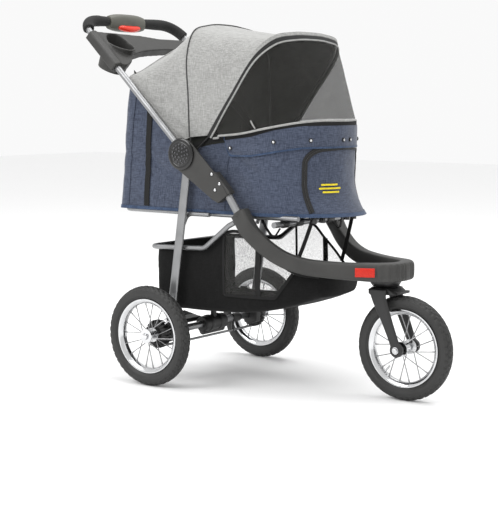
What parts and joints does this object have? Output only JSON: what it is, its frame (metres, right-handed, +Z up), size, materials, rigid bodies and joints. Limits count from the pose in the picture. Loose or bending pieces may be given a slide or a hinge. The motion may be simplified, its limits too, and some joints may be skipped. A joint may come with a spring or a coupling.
{
  "type": "pet stroller",
  "caption": "Three-wheeled folding pet stroller with a fabric cabin, opening hood, mesh front, storage basket and loop handle.",
  "frame": {"origin": "ground level under the middle of the overall length, on the centre plane", "axes": "+X forward towards the single front wheel, +Y to the stroller's left, +Z up"},
  "size_m": [1.118, 0.569, 1.044],
  "materials": {
    "tyre": "matte ribbed rubber",
    "chrome": "bright plated",
    "moulded_plastic": "fine grained, warm charcoal",
    "black_plastic": "satin black",
    "silver_tube": "satin anodised",
    "steel_pin": "turned",
    "bow": "covered wire",
    "foam": "closed-cell foam",
    "grip_cover": "fine grained olive grey",
    "trigger": "glossy red orange",
    "reflector": "prismatic red",
    "denim": "heather navy weave",
    "canopy_cloth": "heather light grey weave",
    "mesh_cloth": "open black mesh",
    "basket_cloth": "black woven nylon"
  },
  "bodies": {
    "front_frame": {"front_arm_right": "moulded_plastic", "front_arm_left": "moulded_plastic", "nose_cover": "moulded_plastic", "deck_plate": "black_plastic", "lower_tube_right": "silver_tube", "lower_tube_left": "silver_tube", "hinge_shell_right": "moulded_plastic", "hinge_shell_left": "moulded_plastic", "hinge_cap_right": "black_plastic", "hinge_cap_left": "black_plastic", "hinge_pin_right": "steel_pin", "hinge_pin_left": "steel_pin", "reflector_right": "reflector", "reflector_left": "reflector", "steering_socket": "black_plastic", "floor_board": "black_plastic", "carriage_tub": "denim", "floor_frame": "silver_tube", "floor_strut_right": "silver_tube", "floor_strut_left": "silver_tube", "floor_crossbar": "silver_tube", "basket": "basket_cloth", "basket_rail": "silver_tube"},
    "handle": {"handle_tube": "silver_tube", "foam_grip_right": "foam", "foam_grip_left": "foam", "grip_housing": "grip_cover", "cup_tray": "moulded_plastic"},
    "release_trigger": {"fold_trigger": "trigger"},
    "canopy_back": {"mid_bow": "bow", "canopy_rear": "canopy_cloth"},
    "canopy_hood": {"front_bow": "bow", "canopy_front": "canopy_cloth", "mesh_cover": "mesh_cloth"},
    "rear_frame": {"rear_leg_right": "silver_tube", "rear_leg_left": "silver_tube", "foot_bracket_right": "black_plastic", "foot_bracket_left": "black_plastic", "axle_tube": "silver_tube", "axle_bolt_right": "chrome", "axle_bolt_left": "chrome", "brake_drum_right": "black_plastic", "brake_drum_left": "black_plastic", "brake_rod": "silver_tube", "brake_bracket": "black_plastic"},
    "pedal": {"brake_pedal": "black_plastic"},
    "rear_wheel_right": {"rear_wheel_right_tyre": "tyre", "rear_wheel_right_rim": "chrome", "rear_wheel_right_hub_spokes": "chrome"},
    "rear_wheel_left": {"rear_wheel_left_tyre": "tyre", "rear_wheel_left_rim": "chrome", "rear_wheel_left_hub_spokes": "chrome"},
    "fork": {"front_fork": "moulded_plastic", "fork_guard": "black_plastic", "front_axle": "chrome", "steering_stem": "steel_pin"},
    "front_wheel": {"front_wheel_tyre": "tyre", "front_wheel_rim": "chrome", "front_wheel_hub_spokes": "chrome"}
  },
  "joints": [
    {"name": "handle_fold", "type": "hinge", "parent": "front_frame", "child": "handle", "pos_m": [-0.154, 0, 0.645], "axis": [0, 1, 0], "range_deg": [0, 140], "deforming": ["carriage_tub", "basket", "canopy_rear", "canopy_front", "mesh_cover"]},
    {"name": "mid_bow_fold", "type": "hinge", "parent": "handle", "child": "canopy_back", "pos_m": [-0.154, 0, 0.645], "axis": [0, 1, 0], "range_deg": [-74.2, 0]},
    {"name": "hood_open", "type": "hinge", "parent": "canopy_back", "child": "canopy_hood", "pos_m": [-0.154, 0, 0.645], "axis": [0, 1, 0], "range_deg": [-38, 0]},
    {"name": "rear_leg_fold", "type": "hinge", "parent": "front_frame", "child": "rear_frame", "pos_m": [-0.154, 0, 0.645], "axis": [0, 1, 0], "range_deg": [-36, 0]},
    {"name": "rear_wheel_right_spin", "type": "hinge", "parent": "rear_frame", "child": "rear_wheel_right", "pos_m": [-0.246, -0.262, 0.14], "axis": [0, 1, 0], "continuous": true},
    {"name": "rear_wheel_left_spin", "type": "hinge", "parent": "rear_frame", "child": "rear_wheel_left", "pos_m": [-0.246, 0.262, 0.14], "axis": [0, 1, 0], "continuous": true},
    {"name": "front_swivel", "type": "hinge", "parent": "front_frame", "child": "fork", "pos_m": [0.357, 0, 0.3], "axis": [0, 0, 1], "continuous": true},
    {"name": "front_wheel_spin", "type": "hinge", "parent": "fork", "child": "front_wheel", "pos_m": [0.419, 0, 0.14], "axis": [0, 1, 0], "continuous": true},
    {"name": "brake_pedal_press", "type": "hinge", "parent": "rear_frame", "child": "pedal", "pos_m": [-0.279, 0, 0.152], "axis": [0, 1, 0], "range_deg": [-25, 0]},
    {"name": "release_trigger_pull", "type": "slide", "parent": "handle", "child": "release_trigger", "axis": [-0.7193, 0, 0.6947], "range_m": [0, 0.008], "stiffness_N_per_m": 300}
  ],
  "couplings": [
    {"joint": "mid_bow_fold", "follows": "handle_fold", "ratio": -0.53},
    {"joint": "rear_leg_fold", "follows": "handle_fold", "ratio": -0.257}
  ]
}
